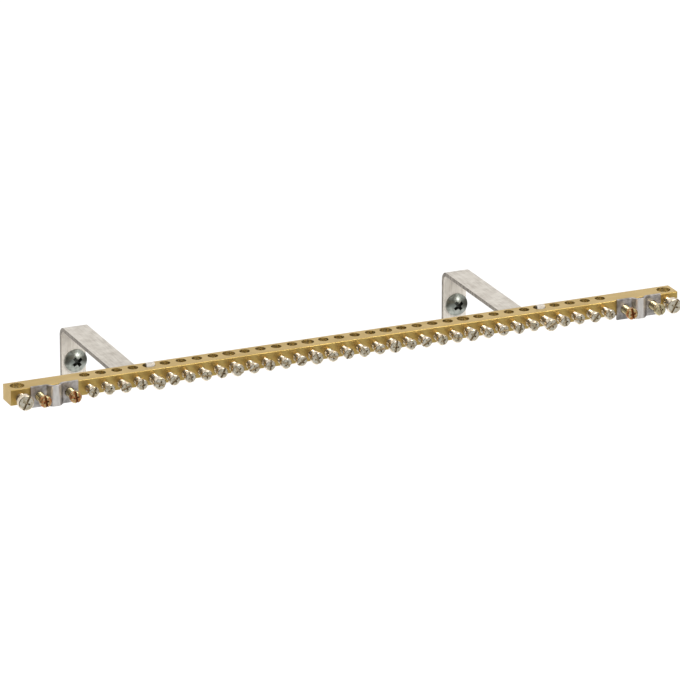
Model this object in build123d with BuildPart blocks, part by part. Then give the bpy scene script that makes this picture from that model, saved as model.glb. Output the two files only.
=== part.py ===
from build123d import *
import os
from math import sqrt

os.makedirs("parts", exist_ok=True)

# Frame: X along the bar, Y away from the viewer into the mounting plate, Z up.
# The origin is where the left fixing screw crosses the mounting plane (the rear face of the feet).

# Bar: a solid brass section with a row of upright wire ways
way_count = 34
pitch = 10.0
bar_depth = 12.7
bar_height = 9.5
bar_edge_radius = 0.4
way_setback = 7.6
way_bore = 6.2
big_way_bore = 7.5
big_way_step = 5
end_way_bore = 8.4
end_way_setback = 6.35
end_way_offset = 41.8
end_margin = 6.2

# Brackets: flat strip bent down to a foot at the rear and up to a narrow tongue at the front
bracket_ways = (5, 30)
arm_reach = 120.0
strip_width = 15.5
strip_thickness = 2.5
strip_corner_radius = 1.5
tongue_bend = 0.8
foot_bend = 4.0
leg_height = 35.0
tongue_width = 5.2
tongue_shift = 0.8
tongue_proud = 1.3
shoulder_relief = 0.5
foot_hole_shift = 1.0

# Fixing screws through the feet, each with a plain neck where it passes the foot
wall_screw_drop = 22.6
wall_screw_neck = 5.4
wall_screw_thread = 6.3
wall_screw_length = 15.5
wall_screw_head = 14.0
wall_screw_head_height = 4.2
wall_screw_rim = 1.4
wall_recess_width = 1.7
wall_recess_span = 7.6
wall_recess_depth = 2.6
wall_recess_turn = 8.0

# Terminal screws, each driven in to another depth and with its slot at another angle
screw_drop = 0.9
small_thread = 5.0
small_length = 9.0
small_head = 6.6
small_head_height = 2.8
big_thread = 6.0
big_length = 8.0
bracket_screw_length = 13.5
big_head = 7.6
big_head_height = 3.2
backing_step = 0.2
backing_stride = 3
backing_count = 5
slot_stride = 67
half_turn = 180
end_thread = 6.0
end_length = 7.5
end_head = 9.4
end_head_height = 3.6
end_slot_turn = 62
slot_width = 1.2
slot_depth = 1.2

# Clamp straps on the front face, each over one bonding conductor
strap_offset = 21.7
strap_length = 29.0
strap_height = 12.7
strap_thickness = 1.5
channel_width = 8.8
channel_crest = 3.4
channel_rise = 3.0
channel_bend = 1.2
clamp_spacing = 18.4
clamp_thread = 5.0
clamp_length = 16.0
clamp_head = 7.0
clamp_head_height = 3.0
clamp_reach = 12.0
clamp_tap_depth = 10.0
clamp_slot_turn = 100

# Clearances
thread_clearance = 0.05
tip_clearance = 0.15
seat_clearance = 0.1
pass_clearance = 0.3
neck_clearance = 0.3

# Heights and depths that follow from the above
arm_top = wall_screw_drop
leg_bottom = arm_top - leg_height
bar_bottom = arm_top + tongue_bend
bar_top = bar_bottom + bar_height
bar_front = -arm_reach
way_y = bar_front + way_setback
end_way_y = bar_front + end_way_setback
bar_z = bar_bottom + bar_height / 2
screw_z = bar_z - screw_drop

# The tongue stands against the rear wall of its way, with its two rear corners on the wall
tongue_right = tongue_shift + tongue_width / 2
tongue_chord = sqrt((big_way_bore / 2) ** 2 - tongue_right**2)
tongue_back = way_y + tongue_chord - seat_clearance
tongue_front = tongue_back - strip_thickness

# Along the bar, the strips are flush with the right side of their tongues
first_bracket_way_x = strip_width / 2 - tongue_right - foot_hole_shift


def way_x(number):
    """Place of a wire way along the bar, counted from the left."""
    return first_bracket_way_x + (number - bracket_ways[0]) * pitch


bar_left = way_x(1) - end_way_offset - end_margin
bar_right = way_x(way_count) + end_way_offset + end_margin
end_ways = {"left": way_x(1) - end_way_offset, "right": way_x(way_count) + end_way_offset}
strap_x = {"left": way_x(1) - strap_offset, "right": way_x(way_count) + strap_offset}
ways = range(1, way_count + 1)
big_ways = [number for number in ways if number % big_way_step == 0]
small_ways = [number for number in ways if number not in big_ways]
sides = dict(zip(("left", "right"), bracket_ways))
foot_holes = {side: way_x(number) - first_bracket_way_x for side, number in sides.items()}


def front_plane(x, y, z):
    """A plane that faces the viewer, for what is drilled in or screwed in from the front."""
    return Plane(origin=(x, y, z), x_dir=(1, 0, 0), z_dir=(0, -1, 0))


def save(solid, name):
    """Label a finished piece and write it under its own name."""
    solid.label = name
    export_step(solid, f"parts/{name}.step")


# Bar
with BuildPart() as bar:
    with BuildSketch(Plane.YZ.offset(bar_left)):
        with Locations((bar_front + bar_depth / 2, bar_z)):
            Rectangle(bar_depth, bar_height)
        fillet(vertices(), bar_edge_radius)
    extrude(amount=bar_right - bar_left)
    # upright ways for the wires
    with Locations(*[(way_x(number), way_y, bar_top) for number in small_ways]):
        Hole(way_bore / 2)
    with Locations(*[(way_x(number), way_y, bar_top) for number in big_ways]):
        Hole(big_way_bore / 2)
    with Locations(*[(x, end_way_y, bar_top) for x in end_ways.values()]):
        Hole(end_way_bore / 2)
    # tapped holes from the front, each into the middle of its way
    with Locations(*[front_plane(way_x(number), bar_front, screw_z) for number in small_ways]):
        Hole(small_thread / 2 + thread_clearance, way_setback)
    with Locations(*[front_plane(way_x(number), bar_front, screw_z) for number in big_ways]):
        Hole(big_thread / 2 + thread_clearance, way_setback)
    with Locations(*[front_plane(x, bar_front, screw_z) for x in end_ways.values()]):
        Hole(end_thread / 2 + thread_clearance, end_way_setback)
    # blind tapped holes for the clamp screws
    for x in strap_x.values():
        with Locations(front_plane(x, bar_front, screw_z)):
            with GridLocations(clamp_spacing, 0, 2, 1):
                Hole(clamp_thread / 2 + thread_clearance, clamp_tap_depth)
save(bar.part, "bar")

# Brackets: one folded strip each, both of the same hand
for side, number in sides.items():
    strip_right = way_x(number) + tongue_right
    strip_left = strip_right - strip_width
    shoulder = tongue_back + tongue_bend + shoulder_relief
    with BuildPart() as bracket:
        with BuildSketch(Plane.YZ.offset(strip_left)):
            with BuildLine():
                FilletPolyline(
                    (tongue_back, bar_top + tongue_proud),
                    (tongue_back, arm_top),
                    (0, arm_top),
                    (0, leg_bottom),
                    radius=[tongue_bend, foot_bend + strip_thickness],
                )
                offset(amount=strip_thickness, side=Side.RIGHT)
            make_face()
        extrude(amount=strip_width)
        # the strip is cut back on its left side, which leaves the tongue
        with BuildSketch(Plane.XY.offset(leg_bottom)):
            with Locations((strip_left, tongue_front)):
                Rectangle(
                    strip_width - tongue_width,
                    shoulder - tongue_front,
                    align=(Align.MIN, Align.MIN),
                )
        extrude(amount=bar_top + tongue_proud - leg_bottom, mode=Mode.SUBTRACT)
        foot_end = faces().sort_by(Axis.Z)[0]
        fillet(foot_end.edges().filter_by(Axis.Y), strip_corner_radius)
        with Locations(front_plane(foot_holes[side], -strip_thickness, 0)):
            Hole(wall_screw_thread / 2 + pass_clearance, strip_thickness)
    save(bracket.part, f"bracket_{side}")

# Fixing screws: domed heads with a cross recess, standing out behind the feet
dome_rise = wall_screw_head_height - wall_screw_rim
dome_radius = ((wall_screw_head / 2) ** 2 + dome_rise**2) / (2 * dome_rise)
for side, x in foot_holes.items():
    seat = front_plane(x, -strip_thickness, 0)
    thread_start = seat.offset(-strip_thickness - neck_clearance)
    with BuildPart() as wall_screw:
        with BuildSketch(seat):
            Circle(wall_screw_neck / 2)
        extrude(amount=-strip_thickness - neck_clearance)
        with BuildSketch(thread_start):
            Circle(wall_screw_thread / 2)
        extrude(amount=strip_thickness + neck_clearance - wall_screw_length)
        # half of the head's section, in the upright plane through the screw's axis
        with BuildSketch(Plane.YZ.offset(x)):
            with BuildLine():
                rim_back = (-strip_thickness, wall_screw_head / 2)
                rim_front = (-strip_thickness - wall_screw_rim, wall_screw_head / 2)
                crown = (-strip_thickness - wall_screw_head_height, 0)
                Polyline(crown, (-strip_thickness, 0), rim_back, rim_front)
                RadiusArc(rim_front, crown, -dome_radius)
            make_face()
        revolve(axis=Axis(seat.origin, seat.z_dir))
        with BuildSketch(seat.offset(wall_screw_head_height)):
            with PolarLocations(0, 2, start_angle=wall_recess_turn, angular_range=half_turn):
                Rectangle(wall_recess_span, wall_recess_width)
        extrude(amount=-wall_recess_depth, mode=Mode.SUBTRACT)
    save(wall_screw.part, f"wall_screw_{side}")

# Clamp straps: flat wings with a raised channel between them
strap_outline = [
    (-strap_length / 2, 0),
    (-channel_width / 2, 0),
    (-channel_crest / 2, channel_rise),
    (channel_crest / 2, channel_rise),
    (channel_width / 2, 0),
    (strap_length / 2, 0),
]
for side, x in strap_x.items():
    with BuildPart() as clamp_strap:
        strap_base = Plane(
            origin=(x, bar_front, screw_z - strap_height / 2), x_dir=(-1, 0, 0), z_dir=(0, 0, 1)
        )
        with BuildSketch(strap_base):
            with BuildLine():
                FilletPolyline(*strap_outline, radius=channel_bend)
                offset(amount=strap_thickness, side=Side.LEFT)
            make_face()
        extrude(amount=strap_height)
        with Locations(front_plane(x, bar_front - strap_thickness, screw_z)):
            with GridLocations(clamp_spacing, 0, 2, 1):
                Hole(clamp_thread / 2 + pass_clearance, strap_thickness)
    save(clamp_strap.part, f"clamp_strap_{side}")


def slotted_screw(x, z, tip_depth, turn, thread, length, head, head_height):
    """A slotted screw from the front, with its tip at tip_depth inside the bar."""
    seat = front_plane(x, bar_front + tip_depth - length, z)
    with BuildPart() as screw:
        with BuildSketch(seat):
            Circle(thread / 2)
        extrude(amount=-length)
        with BuildSketch(seat):
            Circle(head / 2)
        extrude(amount=head_height)
        with BuildSketch(seat.offset(head_height)):
            Rectangle(head + slot_width, slot_width, rotation=turn)
        extrude(amount=-slot_depth, mode=Mode.SUBTRACT)
    return screw.part


# Terminal screws: every fifth way takes a bigger one, and two of those bear on the tongues
small_sizes = (small_thread, small_length, small_head, small_head_height)
big_sizes = (big_thread, big_length, big_head, big_head_height)
bracket_sizes = (big_thread, bracket_screw_length, big_head, big_head_height)
for number in ways:
    backed_out = backing_step * (number * backing_stride % backing_count)
    slot_turn = number * slot_stride % half_turn
    if number in bracket_ways:
        tip_depth = tongue_front - bar_front - seat_clearance
        sizes = bracket_sizes
    elif number in big_ways:
        tip_depth = way_setback - big_way_bore / 2 - tip_clearance - backed_out
        sizes = big_sizes
    else:
        tip_depth = way_setback - way_bore / 2 - tip_clearance - backed_out
        sizes = small_sizes
    screw = slotted_screw(way_x(number), screw_z, tip_depth, slot_turn, *sizes)
    save(screw, f"terminal_screw_{number:02d}")

# End screws, over the wide ways for the incoming earth conductor
end_sizes = (end_thread, end_length, end_head, end_head_height)
end_tip_depth = end_way_setback - end_way_bore / 2 - tip_clearance
for side, x in end_ways.items():
    screw = slotted_screw(x, screw_z, end_tip_depth, end_slot_turn, *end_sizes)
    save(screw, f"end_screw_{side}")

# Clamp screws, slackened so that a conductor can be laid under the strap
clamp_sizes = (clamp_thread, clamp_length, clamp_head, clamp_head_height)
clamp_tip_depth = clamp_length + clamp_head_height - clamp_reach
outward = {"left": -1, "right": 1}
for side, x in strap_x.items():
    for place, direction in (("outer", outward[side]), ("inner", -outward[side])):
        screw_x = x + direction * clamp_spacing / 2
        screw = slotted_screw(screw_x, screw_z, clamp_tip_depth, clamp_slot_turn, *clamp_sizes)
        save(screw, f"clamp_screw_{side}_{place}")
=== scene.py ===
from math import cos, pi, radians, sin

import bmesh
import bpy
from mathutils import Matrix, Vector


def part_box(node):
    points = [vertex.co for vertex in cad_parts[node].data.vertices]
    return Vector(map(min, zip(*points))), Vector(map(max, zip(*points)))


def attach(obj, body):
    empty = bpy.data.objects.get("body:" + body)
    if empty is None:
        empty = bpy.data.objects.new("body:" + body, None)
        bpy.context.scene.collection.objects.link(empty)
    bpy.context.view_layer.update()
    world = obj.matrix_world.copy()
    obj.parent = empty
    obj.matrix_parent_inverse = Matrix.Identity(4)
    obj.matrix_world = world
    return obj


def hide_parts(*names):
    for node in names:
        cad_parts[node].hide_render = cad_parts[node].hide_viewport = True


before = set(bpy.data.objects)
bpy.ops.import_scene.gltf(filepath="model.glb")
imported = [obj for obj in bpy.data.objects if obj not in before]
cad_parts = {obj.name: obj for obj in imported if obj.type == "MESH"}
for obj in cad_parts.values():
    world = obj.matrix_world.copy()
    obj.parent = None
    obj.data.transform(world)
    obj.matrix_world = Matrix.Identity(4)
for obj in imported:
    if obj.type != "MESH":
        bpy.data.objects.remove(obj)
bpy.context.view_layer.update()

bl_info = {
    "name": "Earth Terminal Bar",
    "version": (1, 0, 0),
    "blender": (4, 5, 0),
    "location": "View3D > Sidebar > Earth Bar",
    "description": "Dresses a brass earth terminal bar with its screws, straps and brackets",
    "category": "Add Mesh",
}

MM = 0.001
BODY = "root"

# Points nearer to each other than this are one
WELD = 0.001 * MM
# How far a cutter stands out in front of the face that it cuts
OVERCUT = 2 * MM

# Angles between faces, in degrees: flatter ones make one face, sharper ones are broken
FLAT = 1
BROKEN_CORNER = 40
# Sharper angles than these stay sharp in the shading
SOFTENED_SHARP = 25
SCREW_SHARP = 30
# Weight of the larger faces in the shading, where 100 is all of it
LARGE_FACE_WEIGHT = 100
# Share of a normal along the bar from which a face looks sideways
SIDEWAYS = 0.8

# Pieces that a rounding is made of
EDGE_PIECES = 2
HEAD_ROUNDING_PIECES = 5
DOME_PIECES = 8
# Steps in a full turn
HEAD_STEPS = 36
DOME_STEPS = 48
THREAD_STEPS = 24
WALL_THREAD_STEPS = 28

# Turns of the slots and recesses, in degrees; along the row each is a stride on from the last
SLOT_STRIDE = 67
HALF_TURN = 180
END_SLOT_TURN = 62
CLAMP_SLOT_TURN = 100
WALL_RECESS_TURN = 36

# Values of a pattern between which the roughness changes
ROUGHNESS_SPAN = (0.3, 0.7)

# Lamps: name, place and size in metres, the setting for the power, whether the metal mirrors it
LAMPS = (
    ("overhead_lamp", (0.42, 0.15, 1.3), 0.8, "overhead", True),
    ("front_lamp", (0.69, -1.3, 0.75), 0.6, "front", True),
    ("fill_lamp", (-0.5, -2.3, 0.5), 1.0, "fill", False),
)
# Cards: name, place, direction of the width from above, width, height, the setting for the grey
CARDS = (
    ("low_card", (0.4, -1.45, -0.45), (1, 0), 4.0, 0.8, "low_card"),
    ("high_card", (0.4, -1.45, 0.6), (1, 0), 4.0, 1.3, "dark_card"),
    ("left_card", (-1.0, -0.6, -0.05), (0, 1), 1.7, 1.7, "dark_card"),
    ("right_card", (1.6, -0.1, -0.3), (0, 1), 2.7, 1.1, "dark_card"),
)
# The floor's paint, the light that it adds where it's seen directly, and half its width in metres
FLOOR_COLOUR = "F2F2F2"
FLOOR_LIFT = 0.35
FLOOR_HALF_WIDTH = 30
# Sensor in millimetres, and the nearest and farthest that the camera sees, in metres
SENSOR_WIDTH = 36
NEAREST, FARTHEST = 0.1, 100


def nodes_called(start):
    """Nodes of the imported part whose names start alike, in the order of their names."""
    return sorted(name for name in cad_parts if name.startswith(start))


TERMINALS = nodes_called("terminal_screw")
END_SCREWS = nodes_called("end_screw")
CLAMP_SCREWS = nodes_called("clamp_screw")
WALL_SCREWS = nodes_called("wall_screw")
STRAPS = nodes_called("clamp_strap")
BRACKETS = nodes_called("bracket")


def linear(hex_colour):
    """An sRGB hex colour as linear red, green and blue."""
    channels = [int(hex_colour[i:i + 2], 16) / 255 for i in (0, 2, 4)]
    return tuple(c / 12.92 if c <= 0.04045 else ((c + 0.055) / 1.055) ** 2.4 for c in channels)


def number(name, description, default, **kind):
    """A property that holds a number, with the kind of unit that it's shown in."""
    return bpy.props.FloatProperty(name=name, description=description, default=default, **kind)


def length(name, description, millimetres):
    """A property that holds a length."""
    return number(name, description, millimetres * MM, unit="LENGTH", subtype="DISTANCE")


def colour(name, description, hex_colour):
    """A property that holds a colour."""
    return bpy.props.FloatVectorProperty(
        name=name,
        description=description,
        default=linear(hex_colour),
        subtype="COLOR",
        min=0,
        max=1,
    )


class EarthBarSizes(bpy.types.PropertyGroup):
    """Sizes of the fine detail that the solids leave out"""

    bar_rim: length("Bar rim", "Broken edge round the ways and tapped holes", 0.12)
    strip_edge: length("Strip edge", "Rounding of the sheared edges of the brackets", 0.3)
    strap_edge: length("Strap edge", "Rounding of the sheared edges of the clamp straps", 0.2)
    thread_depth: length("Thread depth", "Depth of the screws' thread below its crests", 0.34)
    thread_pitch: length("Thread pitch", "Distance from one thread crest to the next", 0.8)
    plain_neck: length("Plain neck", "Length of the shank behind the head, without thread", 2.0)
    head_rounding: length("Head rounding", "Rounding of the front edge of the slotted heads", 0.7)
    head_chamfer: length("Head chamfer", "Chamfer of the rear edge of the slotted heads", 0.15)
    tip_length: length("Tip length", "Length of the tapered tip of the slotted screws", 0.5)
    tip_chamfer: length("Tip chamfer", "How much the tip narrows, in radius", 0.4)
    slot_width: length("Slot width", "Width of the screwdriver slot", 1.4)
    slot_depth: length("Slot depth", "Depth of the screwdriver slot", 1.2)
    cross_width: length("Cross width", "Width of the cross recess's arms", 1.2)
    cross_depth: length("Cross depth", "Depth of the cross recess", 1.4)
    wall_pitch: length("Fixing thread pitch", "Thread pitch of the fixing screws", 1.6)


class EarthBarColours(bpy.types.PropertyGroup):
    """Colours of the finishes"""

    brass: colour("Brass", "Clean drawn brass", "C7A964")
    brass_tarnish: colour("Brass tarnish", "Brass dulled by handling", "B19453")
    # Painted light: drilled brass made much paler than real, to lift the shade inside the bores
    brass_bore_painted_light: colour("Bored brass", "Fresh brass of the drilled ways", "F4E8C4")
    galvanised: colour("Galvanised strip", "Bright zinc coat of the brackets", "D5CFC5")
    galvanised_dull: colour("Galvanised strip, dull", "Dulled patches of the zinc coat", "AFA79C")
    # Partly painted shade: bare cut steel, made darker still for the shade on the strips' sides
    sheared: colour("Sheared edge", "Bare steel of the strips' cut edges", "605A53")
    zinc: colour("Zinc strap", "Grey zinc plating of the straps", "BCB5B1")
    zinc_dull: colour("Zinc strap, dull", "Dulled plating of the straps", "88837F")
    # Painted highlight: lighter zinc on the straps' crowns, where the flats beside them lie in
    # shade
    zinc_crown_highlight: colour("Zinc strap, rubbed", "Crowns of the straps, rubbed bright", "D8D2CC")
    nickel: colour("Nickel", "Warm nickel plating of the screws", "E3D7C5")
    nickel_dull: colour("Nickel, dull", "Nickel plating dulled by oil", "BFAF92")
    # Painted shade: the slots and crosses of the nickel screws are darker than the head
    recess: colour("Recess", "Dulled bottoms of the slots", "C0B59E")
    # Partly painted shade: the thread darker than the head, for oil and the shade in its grooves
    thread: colour("Thread", "Rolled thread, dulled by oil", "DACFBD")
    passivated: colour("Passivated zinc", "Yellow-green passivation of the clamp screws", "CDC08E")
    rust: colour("Rust", "Browned heads of the clamp screws", "B4784A")
    rust_dark: colour("Dark rust", "Rust in the recess of the clamp screws", "7A4A2A")
    wall_zinc: colour("Fixing screw zinc", "Grey zinc of the fixing screws", "A0A49C")
    wall_zinc_dull: colour("Fixing screw zinc, dull", "Duller zinc of the fixing screws", "80837C")
    # Painted shade: the fixing screws' cross recess, dark where shade falls in it
    wall_recess_shade: colour("Fixing screw recess", "Dark recess of the fixing screws", "42443F")


class EarthBarStage(bpy.types.PropertyGroup):
    """The camera's place and the light"""

    azimuth: number("Azimuth", "Camera's turn round the bar", radians(-23.7466), subtype="ANGLE")
    elevation: number("Elevation", "Camera's height", radians(19.733), subtype="ANGLE")
    distance: length("Distance", "From the camera to the point it looks at", 3368.15)
    lens: number("Lens", "Focal length on a 36 mm sensor, in millimetres", 304.94)
    aim: bpy.props.FloatVectorProperty(
        name="Aim",
        description="Point that the camera looks at",
        default=(0.121876, -0.117184, 0.032818),
        subtype="TRANSLATION",
    )
    floor_height: length("Floor height", "Height of the floor, far below the bar", -1500)
    sky: number("Sky", "Strength of the even light", 0.8)
    overhead: number("Overhead lamp", "Power of the soft lamp above", 0.8, unit="POWER")
    fill: number("Fill lamp", "Power of the wide lamp beside the camera", 26.0, unit="POWER")
    front: number("Front lamp", "Power of the soft lamp at the front right", 12.0, unit="POWER")
    low_card: colour("Low card", "Grey card that the front faces reflect", "CCD2D4")
    dark_card: colour("Dark cards", "Dark cards that give the screws their form", "67625B")


def add_node(tree, kind, links=None, values=None, **settings):
    """Add a node with its settings, its typed-in values and its links."""
    node = tree.nodes.new(kind)
    for name, value in settings.items():
        setattr(node, name, value)
    for socket, value in (values or {}).items():
        node.inputs[socket].default_value = value
    for socket, source in (links or {}).items():
        tree.links.new(source, node.inputs[socket])
    return node


def new_material(name):
    """An empty material with the place where its patterns are read."""
    material = bpy.data.materials.new(name)
    material.use_nodes = True
    tree = material.node_tree
    tree.nodes.clear()
    place = add_node(tree, "ShaderNodeTexCoord").outputs["Object"]
    return material, tree, place


def grain(tree, place, size_mm, stretch=(1, 1, 1), detail=3.0):
    """A noise whose blotches measure size_mm, drawn out along the axes by stretch."""
    scale = [1 / (size_mm * MM * factor) for factor in stretch]
    spread = add_node(tree, "ShaderNodeMapping", {"Vector": place}, {"Scale": scale})
    return add_node(
        tree, "ShaderNodeTexNoise", {"Vector": spread.outputs[0]}, {"Scale": 1.0, "Detail": detail}
    ).outputs["Fac"]


def ramp(tree, source, low, high, low_value, high_value):
    """Turn a pattern into a number between two values."""
    return add_node(
        tree,
        "ShaderNodeMapRange",
        {"Value": source},
        {"From Min": low, "From Max": high, "To Min": low_value, "To Max": high_value},
    ).outputs["Result"]


def blend(tree, factor, first, second):
    """Mix two colours, typed in or linked, by a pattern."""
    mix = add_node(tree, "ShaderNodeMix", {"Factor": factor}, data_type="RGBA")
    for socket, value in ((mix.inputs[6], first), (mix.inputs[7], second)):
        if isinstance(value, bpy.types.NodeSocket):
            tree.links.new(value, socket)
        else:
            socket.default_value = (*value, 1)
    return mix.outputs[2]


def bump(tree, height, depth_mm, strength):
    """Relief of depth_mm from a pattern."""
    return add_node(
        tree,
        "ShaderNodeBump",
        {"Height": height},
        {"Distance": depth_mm * MM, "Strength": strength},
    ).outputs["Normal"]


def metal(tree, base, roughness, normal, metallic=1.0):
    """A metal surface with a linked colour, roughness and relief; less metallic under an oxide."""
    shader = add_node(
        tree,
        "ShaderNodeBsdfPrincipled",
        {"Base Color": base, "Roughness": roughness, "Normal": normal},
        {"Metallic": metallic},
    )
    add_node(tree, "ShaderNodeOutputMaterial", {"Surface": shader.outputs["BSDF"]})


def mottled(tree, pattern, colours, span, roughness, depth_mm, strength, metallic=1.0, share=1.0):
    """A metal whose colour, roughness and relief follow one pattern.

    Of its two colours, the second comes in by up to a share over the pattern's span.
    """
    base = blend(tree, ramp(tree, pattern, *span, 0.0, share), *colours)
    rough = ramp(tree, pattern, *ROUGHNESS_SPAN, *roughness)
    metal(tree, base, rough, bump(tree, pattern, depth_mm, strength), metallic)


def drawn_brass(colours):
    """Brass bar, drawn through a die: fine lines along it, dulled in patches by handling."""
    material, tree, place = new_material("drawn_brass")
    # drawing lines 0.25 mm apart and 60 times as long
    lines = grain(tree, place, 0.25, (60, 1, 1))
    patches = grain(tree, place, 9, (2, 1, 1))
    tone = ramp(tree, lines, 0.35, 0.65, 0.0, 0.4)
    dull = ramp(tree, patches, 0.4, 0.7, 0.0, 0.5)
    mixed = add_node(tree, "ShaderNodeMath", {0: tone, 1: dull}, operation="ADD", use_clamp=True)
    base = blend(tree, mixed.outputs[0], colours.brass, colours.brass_tarnish)
    rough = ramp(tree, patches, *ROUGHNESS_SPAN, 0.28, 0.4)
    metal(tree, base, rough, bump(tree, lines, 0.01, 0.5), 0.88)
    return material


def bored_brass(colours):
    """Brass left by a drill, with fine rings round the bore: painted much paler than the bar's
    skin, as light that lifts the shade inside the bores.
    """
    material, tree, place = new_material("bored_brass")
    # rings 0.3 mm apart
    rings = grain(tree, place, 0.3, (12, 12, 1))
    tones = (colours.brass_bore_painted_light, colours.brass)
    mottled(tree, rings, tones, (0.35, 0.65), (0.2, 0.28), 0.005, 0.3, share=0.5)
    return material


def galvanised_steel(colours):
    """Galvanised strip under a chalky oxide: soft warm grey, clouded, with rolling lines."""
    material, tree, place = new_material("galvanised_steel")
    clouds = grain(tree, place, 5, detail=5.0)
    # rolling lines 0.5 mm apart, drawn coarser than real so that they show
    lines = grain(tree, place, 0.5, (1, 25, 25))
    mixed = add_node(tree, "ShaderNodeMath", {0: clouds, 1: lines}, operation="MULTIPLY")
    dull = ramp(tree, mixed.outputs[0], 0.12, 0.42, 0.0, 1.0)
    base = blend(tree, dull, colours.galvanised, colours.galvanised_dull)
    pits = grain(tree, place, 0.6)
    rough = ramp(tree, clouds, *ROUGHNESS_SPAN, 0.5, 0.6)
    metal(tree, base, rough, bump(tree, pits, 0.02, 0.4), 0.1)
    return material


def sheared_steel(colours):
    """Cut edge of the strip: bare, darker steel with the blade's lines across it, darkened further
    as painted shade on the strips' sides.
    """
    material, tree, place = new_material("sheared_steel")
    # lines 0.4 mm apart along the edge
    lines = grain(tree, place, 0.4, (10, 1, 10))
    tones = (colours.sheared, colours.galvanised_dull)
    mottled(tree, lines, tones, (0.35, 0.65), (0.55, 0.45), 0.03, 0.5)
    return material


def zinc_plated_strap(colours):
    """Pressed steel, zinc plated in a barrel: blue-grey, clouded and scuffed."""
    material, tree, place = new_material("zinc_plated_pressing")
    clouds = grain(tree, place, 3, detail=6.0)
    base = blend(tree, ramp(tree, clouds, 0.38, 0.62, 0.0, 1.0), colours.zinc, colours.zinc_dull)
    scuffs = grain(tree, place, 0.4, (4, 1, 1))
    rough = ramp(tree, clouds, *ROUGHNESS_SPAN, 0.3, 0.45)
    metal(tree, base, rough, bump(tree, scuffs, 0.02, 0.4), 0.85)
    return material


def strap_crown_highlight(colours):
    """Crown of a strap: the same plating, painted lighter as a highlight against the shaded flats
    beside it.
    """
    material, tree, place = new_material("rubbed_zinc_pressing")
    rubs = grain(tree, place, 1.5, (1, 1, 3), detail=5.0)
    tones = (colours.zinc_crown_highlight, colours.zinc)
    mottled(tree, rubs, tones, (0.4, 0.75), (0.28, 0.4), 0.02, 0.3, metallic=0.85)
    return material


def nickel_plated_steel(colours):
    """Turned steel screw, nickel plated: warm, bright and nearly smooth, with a trace of oil."""
    material, tree, place = new_material("nickel_plated_steel")
    specks = grain(tree, place, 1.2, detail=4.0)
    tones = (colours.nickel, colours.nickel_dull)
    mottled(tree, specks, tones, (0.4, 0.65), (0.16, 0.28), 0.02, 0.2)
    return material


def oiled_thread(colours):
    """Rolled thread under the plating: duller and darker than the head, with oil and painted shade
    in its grooves.
    """
    material, tree, place = new_material("oiled_thread")
    oil = grain(tree, place, 0.9, detail=4.0)
    tones = (colours.thread, colours.nickel_dull)
    mottled(tree, oil, tones, (0.35, 0.65), (0.18, 0.28), 0.02, 0.2)
    return material


def dulled_recess(colours):
    """Bottom and walls of a slot: rougher than the head, and painted darker as shade in the recess.
    """
    material, tree, place = new_material("dulled_recess")
    dirt = grain(tree, place, 0.8, detail=4.0)
    tones = (colours.recess, colours.nickel_dull)
    mottled(tree, dirt, tones, (0.35, 0.65), (0.45, 0.6), 0.03, 0.4)
    return material


def passivated_steel(colours):
    """Zinc-plated screw with yellow passivation: pale brass, with a green cast."""
    material, tree, place = new_material("yellow_passivated_steel")
    film = grain(tree, place, 1.2)
    tones = (colours.passivated, colours.nickel_dull)
    mottled(tree, film, tones, (0.35, 0.65), (0.22, 0.34), 0.01, 0.3)
    return material


def browned_steel(colours):
    """Head of a passivated screw, browned by rust in blotches, with plating left between."""
    material, tree, place = new_material("browned_steel")
    film = grain(tree, place, 1.5, detail=5.0)
    tones = (colours.rust, colours.passivated)
    mottled(tree, film, tones, (0.46, 0.6), (0.5, 0.28), 0.05, 0.5)
    return material


def rusted_recess(colours):
    """Recess of a browned screw: dark rust, nearly black at the bottom."""
    material, tree, place = new_material("rusted_recess")
    crust = grain(tree, place, 0.7, detail=5.0)
    tones = (colours.rust_dark, colours.rust)
    mottled(tree, crust, tones, (0.4, 0.65), (0.6, 0.75), 0.06, 0.6)
    return material


def zinc_plated_screw(colours):
    """Steel screw, zinc plated: cool grey and bright, with a faint cloudiness."""
    material, tree, place = new_material("zinc_plated_steel")
    clouds = grain(tree, place, 2.0)
    tones = (colours.wall_zinc, colours.wall_zinc_dull)
    mottled(tree, clouds, tones, (0.35, 0.65), (0.3, 0.42), 0.02, 0.3)
    return material


def dark_recess(colours):
    """Cross recess of a fixing screw: painted dark, as shade in the recess."""
    material, tree, place = new_material("dark_recess")
    oil = grain(tree, place, 0.8)
    tones = (colours.wall_recess_shade, colours.wall_zinc_dull)
    mottled(tree, oil, tones, (0.4, 0.65), (0.5, 0.65), 0.03, 0.4, share=0.5)
    return material


def mark_sharp(bm, degrees):
    """Shade the mesh smooth, apart from edges that turn by more than an angle."""
    for face in bm.faces:
        face.smooth = True
    for edge in bm.edges:
        edge.smooth = len(edge.link_faces) == 2 and edge.calc_face_angle() < radians(degrees)


def finished(bm, name, materials):
    """Write a bmesh to a new mesh object with its materials."""
    mesh = bpy.data.meshes.new(name)
    bm.to_mesh(mesh)
    bm.free()
    for material in materials:
        mesh.materials.append(material)
    made = bpy.data.objects.new(name, mesh)
    bpy.context.scene.collection.objects.link(made)
    return made


def dress(piece, node):
    """Let a piece stand for a node, which it hides, and ride with the root body; flat faces shade
    flat.
    """
    shading = piece.modifiers.new("flat_faces", "WEIGHTED_NORMAL")
    shading.keep_sharp = True
    shading.weight = LARGE_FACE_WEIGHT
    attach(piece, BODY)
    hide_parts(node)


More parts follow.
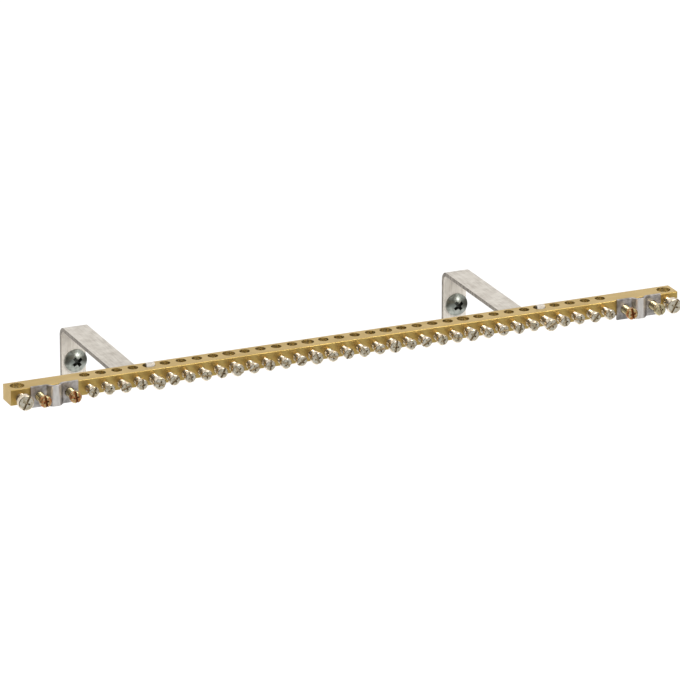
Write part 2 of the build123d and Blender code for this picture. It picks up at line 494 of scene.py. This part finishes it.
def soften(node, edge_width, materials, second_finish):
    """Copy a node's mesh with its edges broken; the second finish goes where a test says so."""
    bm = bmesh.new()
    bm.from_mesh(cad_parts[node].data)
    bmesh.ops.remove_doubles(bm, verts=bm.verts, dist=WELD)
    bmesh.ops.dissolve_limit(bm, angle_limit=radians(FLAT), verts=bm.verts, edges=bm.edges)
    sharp = [
        edge
        for edge in bm.edges
        if len(edge.link_faces) == 2 and edge.calc_face_angle() > radians(BROKEN_CORNER)
    ]
    bmesh.ops.bevel(
        bm,
        geom=sharp,
        offset=edge_width,
        offset_type="OFFSET",
        segments=EDGE_PIECES,
        profile=0.5,
        affect="EDGES",
        material=-1,
        clamp_overlap=True,
    )
    for face in bm.faces:
        face.material_index = 1 if second_finish(face) else 0
    mark_sharp(bm, SOFTENED_SHARP)
    dress(finished(bm, f"{node}_finished", materials), node)


def inside_of(node, margin):
    """A test for faces that lie under the skin of a node, such as the walls of its bores."""
    low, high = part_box(node)

    def test(face):
        place = face.calc_center_median()
        return all(low[i] + margin < place[i] < high[i] - margin for i in range(3))

    return test


def faces_sideways(face):
    """Whether a face looks along the bar, as a strip's cut edges do."""
    return abs(face.normal.x) > SIDEWAYS


# The crown is where the painted highlight of the straps goes
def crown_of(node, rise):
    """A test for the faces of a strap's crown, which stand up to rise behind its foremost point."""
    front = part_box(node)[0].y

    def test(face):
        return face.calc_center_median().y < front + rise

    return test


def turned(profile, steps):
    """A closed body turned about the Y axis from a profile of radius and depth.

    The profile starts and ends on the axis.
    """
    bm = bmesh.new()
    points = [bm.verts.new((radius, depth, 0)) for radius, depth in profile]
    edges = [bm.edges.new(pair) for pair in zip(points, points[1:])]
    bmesh.ops.spin(
        bm,
        geom=points + edges,
        cent=(0, 0, 0),
        axis=(0, 1, 0),
        dvec=(0, 0, 0),
        angle=2 * pi,
        steps=steps,
        use_merge=True,
        use_duplicate=False,
    )
    bmesh.ops.remove_doubles(bm, verts=bm.verts, dist=WELD)
    bmesh.ops.recalc_face_normals(bm, faces=bm.faces)
    return bm


def thread(bm, radius, depth, pitch, start, end, steps, finish):
    """Wind a closed ridge round the Y axis from start to end, its foot sunk into the core."""
    core_faces = set(bm.faces)
    foot, crest, sunk = 0.46 * pitch, 0.14 * pitch, 0.05 * MM
    inner = radius - depth - sunk
    corners = ((inner, -foot), (inner, foot), (radius, crest), (radius, -crest))
    loop = [bm.verts.new((r, start + offset, 0)) for r, offset in corners]
    ring = [bm.edges.new((loop[i], loop[(i + 1) % 4])) for i in range(4)]
    bm.faces.new(loop)
    turns = (end - start) / pitch
    count = round(turns * steps)
    wound = bmesh.ops.spin(
        bm,
        geom=loop + ring,
        cent=(0, 0, 0),
        axis=(0, 1, 0),
        dvec=(0, (end - start) / count, 0),
        angle=2 * pi * turns,
        steps=count,
        use_merge=False,
        use_duplicate=False,
    )
    last = [v for v in wound["geom_last"] if isinstance(v, bmesh.types.BMVert)]
    bmesh.ops.contextual_create(bm, geom=last)
    ridge = [face for face in bm.faces if face not in core_faces]
    bmesh.ops.recalc_face_normals(bm, faces=ridge)
    for face in ridge:
        face.material_index = finish


def block(width, depth, span, taper=1.0):
    """A cutter that reaches depth behind the plane y = 0, narrower at its bottom by taper."""
    bm = bmesh.new()
    bmesh.ops.create_cube(bm, size=1)
    bmesh.ops.scale(bm, vec=(span, depth + OVERCUT, width), verts=bm.verts)
    bmesh.ops.translate(bm, vec=(0, (depth - OVERCUT) / 2, 0), verts=bm.verts)
    bottom = [v for v in bm.verts if v.co.y > 0]
    bmesh.ops.scale(bm, vec=(taper, 1, taper), verts=bottom)
    return bm


def cut(bm, name, cutters, materials, recess):
    """Take cutters away from a closed body; the walls that they leave have the recess finish."""
    for cutter in cutters:
        for face in cutter.faces:
            face.material_index = recess
    body = finished(bm, name, materials)
    tools = [finished(cutter, f"{name}_cutter", materials) for cutter in cutters]
    for tool in tools:
        change = body.modifiers.new("cut", "BOOLEAN")
        change.operation = "DIFFERENCE"
        change.solver = "EXACT"
        change.object = tool
    shape = body.evaluated_get(bpy.context.evaluated_depsgraph_get())
    result = bmesh.new()
    result.from_mesh(shape.to_mesh())
    shape.to_mesh_clear()
    bmesh.ops.remove_doubles(result, verts=result.verts, dist=WELD)
    for unused in (body, *tools):
        mesh = unused.data
        bpy.data.objects.remove(unused)
        bpy.data.meshes.remove(mesh)
    return result


def quarter_round(side, rounding, pieces):
    """Points of a rounding in a profile, from the front y = 0 to the side."""
    angles = [radians(90 * i / pieces) for i in range(pieces + 1)]
    centre = side - rounding
    return [(centre + rounding * sin(a), rounding - rounding * cos(a)) for a in angles]


def cheese_head_screw(sizes, head, head_height, thread_radius, tip, materials):
    """A screw with a slot and a cross recess in its head, from y = 0 to y = tip.

    Its materials are the head's, the shank's and the recess's.
    """
    side = head / 2
    core = thread_radius - sizes.thread_depth
    chamfer = sizes.head_chamfer
    profile = [(0, 0), *quarter_round(side, sizes.head_rounding, HEAD_ROUNDING_PIECES)]
    profile += [(side, head_height - chamfer), (side - chamfer, head_height), (core, head_height)]
    profile += [(core, tip - sizes.tip_length), (core - sizes.tip_chamfer, tip), (0, tip)]
    body = turned(profile, HEAD_STEPS)
    for face in body.faces:
        face.material_index = 0 if face.calc_center_median().y < head_height + WELD else 1
    slot_span, cross_span, taper = 1.2 * head, 0.62 * head, 0.7
    slot = block(sizes.slot_width, sizes.slot_depth, slot_span)
    arm = block(sizes.cross_width, sizes.cross_depth, cross_span, taper)
    other_arm = block(cross_span, sizes.cross_depth, sizes.cross_width, taper)
    bm = cut(body, "screw", [slot, arm, other_arm], materials, 2)
    start = head_height + sizes.plain_neck
    pitch = sizes.thread_pitch
    end = tip - pitch
    thread(bm, thread_radius, sizes.thread_depth, pitch, start, end, THREAD_STEPS, 1)
    mark_sharp(bm, SCREW_SHARP)
    return bm


def place_screw(bm, node, front, turn, materials):
    """Turn a screw about its axis and move it to its node's axis, with its front at a depth."""
    low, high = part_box(node)
    matrix = Matrix.Rotation(radians(-turn), 3, "Y")
    bmesh.ops.rotate(bm, cent=(0, 0, 0), matrix=matrix, verts=bm.verts)
    place = ((low.x + high.x) / 2, front, (low.z + high.z) / 2)
    bmesh.ops.translate(bm, vec=place, verts=bm.verts)
    dress(finished(bm, f"{node}_finished", materials), node)


def slotted_screw(sizes, node, head_height, thread_radius, turn, materials):
    """Make a slotted screw as long and as wide as its node, in its place."""
    low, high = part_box(node)
    head, tip = high.x - low.x, high.y - low.y
    screw = cheese_head_screw(sizes, head, head_height, thread_radius, tip, materials)
    place_screw(screw, node, low.y, turn, materials)


class EARTHBAR_OT_bar(bpy.types.Operator):
    """Finish the brass bar"""

    bl_idname = "earth_bar.bar"
    bl_label = "Brass bar"

    # Below this depth the bores take the paler brass, painted light
    skin: length("Skin", "Depth below the bar's faces at which its bores' finish starts", 0.3)

    def execute(self, context):
        settings = context.scene
        colours = settings.earth_bar_colours
        finishes = [drawn_brass(colours), bored_brass(colours)]
        soften("bar", settings.earth_bar_sizes.bar_rim, finishes, inside_of("bar", self.skin))
        return {"FINISHED"}


class EARTHBAR_OT_brackets(bpy.types.Operator):
    """Finish the two folded brackets"""

    bl_idname = "earth_bar.brackets"
    bl_label = "Brackets"

    def execute(self, context):
        settings = context.scene
        colours = settings.earth_bar_colours
        finishes = [galvanised_steel(colours), sheared_steel(colours)]
        for node in BRACKETS:
            soften(node, settings.earth_bar_sizes.strip_edge, finishes, faces_sideways)
        return {"FINISHED"}


class EARTHBAR_OT_straps(bpy.types.Operator):
    """Finish the two clamp straps"""

    bl_idname = "earth_bar.straps"
    bl_label = "Clamp straps"

    # The painted highlight covers the crown to this depth behind its foremost point
    crown: length("Crown", "How deep the rubbed crown reaches behind its foremost point", 0.8)

    def execute(self, context):
        settings = context.scene
        colours = settings.earth_bar_colours
        finishes = [zinc_plated_strap(colours), strap_crown_highlight(colours)]
        for node in STRAPS:
            test = crown_of(node, self.crown)
            soften(node, settings.earth_bar_sizes.strap_edge, finishes, test)
        return {"FINISHED"}


class EARTHBAR_OT_terminal_screws(bpy.types.Operator):
    """Make the row of terminal screws"""

    bl_idname = "earth_bar.terminal_screws"
    bl_label = "Terminal screws"

    small_height: length("Small head height", "Height of the small heads", 2.8)
    large_height: length("Large head height", "Height of the large heads", 3.2)
    small_radius: length("Small thread radius", "Radius of the small threads", 2.5)
    large_radius: length("Large thread radius", "Radius of the large threads", 3.0)
    large_step: bpy.props.IntProperty(
        name="Large step", description="How many screws on the next large one stands", default=5
    )

    def execute(self, context):
        settings = context.scene
        colours = settings.earth_bar_colours
        finishes = [nickel_plated_steel(colours), oiled_thread(colours), dulled_recess(colours)]
        for position, node in enumerate(TERMINALS, 1):
            if position % self.large_step:
                height, radius = self.small_height, self.small_radius
            else:
                height, radius = self.large_height, self.large_radius
            turn = position * SLOT_STRIDE % HALF_TURN
            slotted_screw(settings.earth_bar_sizes, node, height, radius, turn, finishes)
        return {"FINISHED"}


class EARTHBAR_OT_end_screws(bpy.types.Operator):
    """Make the two large end screws"""

    bl_idname = "earth_bar.end_screws"
    bl_label = "End screws"

    head_height: length("Head height", "Height of the heads", 3.6)
    thread_radius: length("Thread radius", "Radius of the threads", 3.0)

    def execute(self, context):
        sizes = context.scene.earth_bar_sizes
        colours = context.scene.earth_bar_colours
        height, radius = self.head_height, self.thread_radius
        finishes = [nickel_plated_steel(colours), oiled_thread(colours), dulled_recess(colours)]
        for node in END_SCREWS:
            slotted_screw(sizes, node, height, radius, END_SLOT_TURN, finishes)
        return {"FINISHED"}


class EARTHBAR_OT_clamp_screws(bpy.types.Operator):
    """Make the four clamp screws"""

    bl_idname = "earth_bar.clamp_screws"
    bl_label = "Clamp screws"

    head_height: length("Head height", "Height of the heads", 3.0)
    thread_radius: length("Thread radius", "Radius of the threads", 2.5)

    def execute(self, context):
        sizes = context.scene.earth_bar_sizes
        colours = context.scene.earth_bar_colours
        height, radius = self.head_height, self.thread_radius
        passivated = passivated_steel(colours)
        browned = [browned_steel(colours), passivated, rusted_recess(colours)]
        clean = [passivated, passivated, dulled_recess(colours)]
        for node in CLAMP_SCREWS:
            finishes = clean if node == "clamp_screw_right_outer" else browned
            slotted_screw(sizes, node, height, radius, CLAMP_SLOT_TURN, finishes)
        return {"FINISHED"}


class EARTHBAR_OT_wall_screws(bpy.types.Operator):
    """Make the two fixing screws with domed heads"""

    bl_idname = "earth_bar.wall_screws"
    bl_label = "Fixing screws"

    head_height: length("Head height", "Height of the domed heads", 4.2)
    rim: length("Rim", "Height of the straight rim", 1.4)
    neck_radius: length("Neck radius", "Radius of the plain neck", 2.7)
    thread_radius: length("Thread radius", "Radius of the threads", 3.15)
    thread_depth: length("Thread depth", "Depth of the thread", 0.8)
    neck: length("Neck", "Length of the plain neck", 2.8)
    total: length("Total", "Length of the whole screw", 19.7)
    neck_taper: length("Neck taper", "Length of the step from the neck to the thread's core", 0.2)
    tip_length: length("Tip length", "Length of the tapered tip", 1.5)
    tip_chamfer: length("Tip chamfer", "How much the tip narrows, in radius", 1.2)
    recess_width: length("Recess width", "Width of the cross recess's arms", 2.6)
    recess_span: length("Recess span", "Span of the cross recess", 8.4)
    recess_depth: length("Recess depth", "Depth of the cross recess", 2.8)
    taper: number("Recess taper", "Size of the recess's bottom, as a share of its mouth", 0.6)

    def execute(self, context):
        pitch = context.scene.earth_bar_sizes.wall_pitch
        colours = context.scene.earth_bar_colours
        finishes = [zinc_plated_screw(colours), dark_recess(colours)]
        for node in WALL_SCREWS:
            low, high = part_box(node)
            side = (high.x - low.x) / 2
            rise = self.head_height - self.rim
            dome = (side * side + rise * rise) / (2 * rise)
            radii = [side * i / DOME_PIECES for i in range(DOME_PIECES + 1)]
            profile = [(radius, dome - (dome * dome - radius * radius) ** 0.5) for radius in radii]
            core = self.thread_radius - self.thread_depth
            neck_end = self.head_height + self.neck
            profile += [(side, self.head_height), (self.neck_radius, self.head_height)]
            profile += [(self.neck_radius, neck_end), (core, neck_end + self.neck_taper)]
            profile += [(core, self.total - self.tip_length)]
            profile += [(core - self.tip_chamfer, self.total), (0, self.total)]
            width, span, depth = self.recess_width, self.recess_span, self.recess_depth
            arms = [block(width, depth, span, self.taper), block(span, depth, width, self.taper)]
            bm = cut(turned(profile, DOME_STEPS), "fixing", arms, finishes, 1)
            start, end = neck_end + pitch, self.total - pitch
            thread(
                bm, self.thread_radius, self.thread_depth, pitch, start, end, WALL_THREAD_STEPS, 0
            )
            mark_sharp(bm, SCREW_SHARP)
            place_screw(bm, node, high.y - self.total, WALL_RECESS_TURN, finishes)
        return {"FINISHED"}


def seen_directly(tree):
    """One where the camera, a mirror or a glass sees a surface, and nought for other light."""
    path = add_node(tree, "ShaderNodeLightPath").outputs
    mirrored = add_node(
        tree,
        "ShaderNodeMath",
        {0: path["Is Glossy Ray"], 1: path["Is Transmission Ray"]},
        operation="MAXIMUM",
    )
    either = {0: path["Is Camera Ray"], 1: mirrored.outputs[0]}
    return add_node(tree, "ShaderNodeMath", either, operation="MAXIMUM").outputs[0]


def pale_floor():
    """White painted floor: takes soft shadows, and is bright enough to fade into the background."""
    material = bpy.data.materials.new("pale_floor")
    material.use_nodes = True
    tree = material.node_tree
    tree.nodes.clear()
    paint = add_node(tree, "ShaderNodeBsdfDiffuse", None, {"Color": (*linear(FLOOR_COLOUR), 1)})
    lift = ramp(tree, seen_directly(tree), 0, 1, 0, FLOOR_LIFT)
    glow = add_node(tree, "ShaderNodeEmission", {"Strength": lift}, {"Color": (1, 1, 1, 1)})
    both = add_node(tree, "ShaderNodeAddShader", {0: paint.outputs[0], 1: glow.outputs[0]})
    add_node(tree, "ShaderNodeOutputMaterial", {"Surface": both.outputs[0]})
    return material


def facing(place, target):
    """The turn that points an object's own -Z from its place at a target."""
    return (Vector(target) - Vector(place)).to_track_quat("-Z", "Y")


def soft_lamp(scene, name, place, size, power, mirrored):
    """A square soft lamp that shines at the middle of the bar, mirrored in its metal or not."""
    lamp = bpy.data.lights.new(name, "AREA")
    lamp.energy = power
    lamp.size = size
    lamp_object = bpy.data.objects.new(name, lamp)
    lamp_object.location = place
    lamp_object.rotation_euler = facing(place, scene.earth_bar_stage.aim).to_euler()
    lamp_object.visible_glossy = mirrored
    scene.collection.objects.link(lamp_object)


def grey_card(name, place, along, width, height, shade):
    """An upright card, seen only in the metal: its grey gives polished screws their form."""
    material = bpy.data.materials.new(name)
    material.use_nodes = True
    tree = material.node_tree
    tree.nodes.clear()
    glow = add_node(tree, "ShaderNodeEmission", None, {"Color": (*shade, 1), "Strength": 1})
    add_node(tree, "ShaderNodeOutputMaterial", {"Surface": glow.outputs[0]})
    bm = bmesh.new()
    bmesh.ops.create_grid(bm, x_segments=1, y_segments=1, size=0.5)
    bmesh.ops.scale(bm, vec=(width, height, 1), verts=bm.verts)
    bmesh.ops.rotate(bm, cent=(0, 0, 0), matrix=Matrix.Rotation(pi / 2, 3, "X"), verts=bm.verts)
    turn = Vector(along).angle_signed(Vector((1, 0)))
    bmesh.ops.rotate(bm, cent=(0, 0, 0), matrix=Matrix.Rotation(turn, 3, "Z"), verts=bm.verts)
    bmesh.ops.translate(bm, vec=place, verts=bm.verts)
    card = finished(bm, name, [material])
    card.visible_camera = card.visible_diffuse = card.visible_shadow = False


class EARTHBAR_OT_stage(bpy.types.Operator):
    """Set up the floor, the light and the camera"""

    bl_idname = "earth_bar.stage"
    bl_label = "Stage"

    def execute(self, context):
        scene = context.scene
        stage = scene.earth_bar_stage
        scene.view_settings.view_transform = "Standard"

        # pale floor, large enough to fill the picture
        bm = bmesh.new()
        bmesh.ops.create_grid(bm, x_segments=1, y_segments=1, size=FLOOR_HALF_WIDTH)
        bmesh.ops.translate(bm, vec=(0, 0, stage.floor_height), verts=bm.verts)
        finished(bm, "floor", [pale_floor()])

        scene.world = bpy.data.worlds.new("even_light")
        scene.world.use_nodes = True
        tree = scene.world.node_tree
        strength = ramp(tree, seen_directly(tree), 0, 1, stage.sky, 1)
        tree.links.new(strength, tree.nodes["Background"].inputs["Strength"])
        tree.nodes["Background"].inputs["Color"].default_value = (1, 1, 1, 1)

        for name, place, size, power, mirrored in LAMPS:
            soft_lamp(scene, name, place, size, getattr(stage, power), mirrored)
        for name, place, along, width, height, shade in CARDS:
            grey_card(name, place, along, width, height, getattr(stage, shade))

        camera = bpy.data.cameras.new("camera")
        camera.lens = stage.lens
        camera.sensor_width = SENSOR_WIDTH
        camera.clip_start, camera.clip_end = NEAREST, FARTHEST
        camera_object = bpy.data.objects.new("camera", camera)
        a, e = stage.azimuth, stage.elevation
        back = Vector((sin(a) * cos(e), -cos(a) * cos(e), sin(e)))
        camera_object.location = Vector(stage.aim) + back * stage.distance
        camera_object.rotation_euler = (-back).to_track_quat("-Z", "Y").to_euler()
        scene.collection.objects.link(camera_object)
        scene.camera = camera_object
        return {"FINISHED"}


class EARTHBAR_PT_panel(bpy.types.Panel):
    """Lists the pieces of the earth bar"""

    bl_label = "Earth Terminal Bar"
    bl_idname = "EARTHBAR_PT_panel"
    bl_space_type = "VIEW_3D"
    bl_region_type = "UI"
    bl_category = "Earth Bar"

    def draw(self, context):
        for operator in OPERATORS:
            self.layout.operator(operator.bl_idname)


GROUPS = {
    "earth_bar_sizes": EarthBarSizes,
    "earth_bar_colours": EarthBarColours,
    "earth_bar_stage": EarthBarStage,
}
OPERATORS = (
    EARTHBAR_OT_stage,
    EARTHBAR_OT_bar,
    EARTHBAR_OT_brackets,
    EARTHBAR_OT_wall_screws,
    EARTHBAR_OT_straps,
    EARTHBAR_OT_terminal_screws,
    EARTHBAR_OT_end_screws,
    EARTHBAR_OT_clamp_screws,
)


def register():
    """Make the settings, the operators and the panel known to Blender"""
    for group in GROUPS.values():
        bpy.utils.register_class(group)
    for name, group in GROUPS.items():
        setattr(bpy.types.Scene, name, bpy.props.PointerProperty(type=group))
    for operator in OPERATORS:
        bpy.utils.register_class(operator)
    bpy.utils.register_class(EARTHBAR_PT_panel)


def unregister():
    """Take them away again"""
    bpy.utils.unregister_class(EARTHBAR_PT_panel)
    for operator in reversed(OPERATORS):
        bpy.utils.unregister_class(operator)
    for name in GROUPS:
        delattr(bpy.types.Scene, name)
    for group in reversed(GROUPS.values()):
        bpy.utils.unregister_class(group)


def main():
    """Make the pieces in order"""
    register()
    for operator in OPERATORS:
        name = operator.bl_idname.split(".")[1]
        getattr(bpy.ops.earth_bar, name)()


if __name__ == "__main__":
    main()
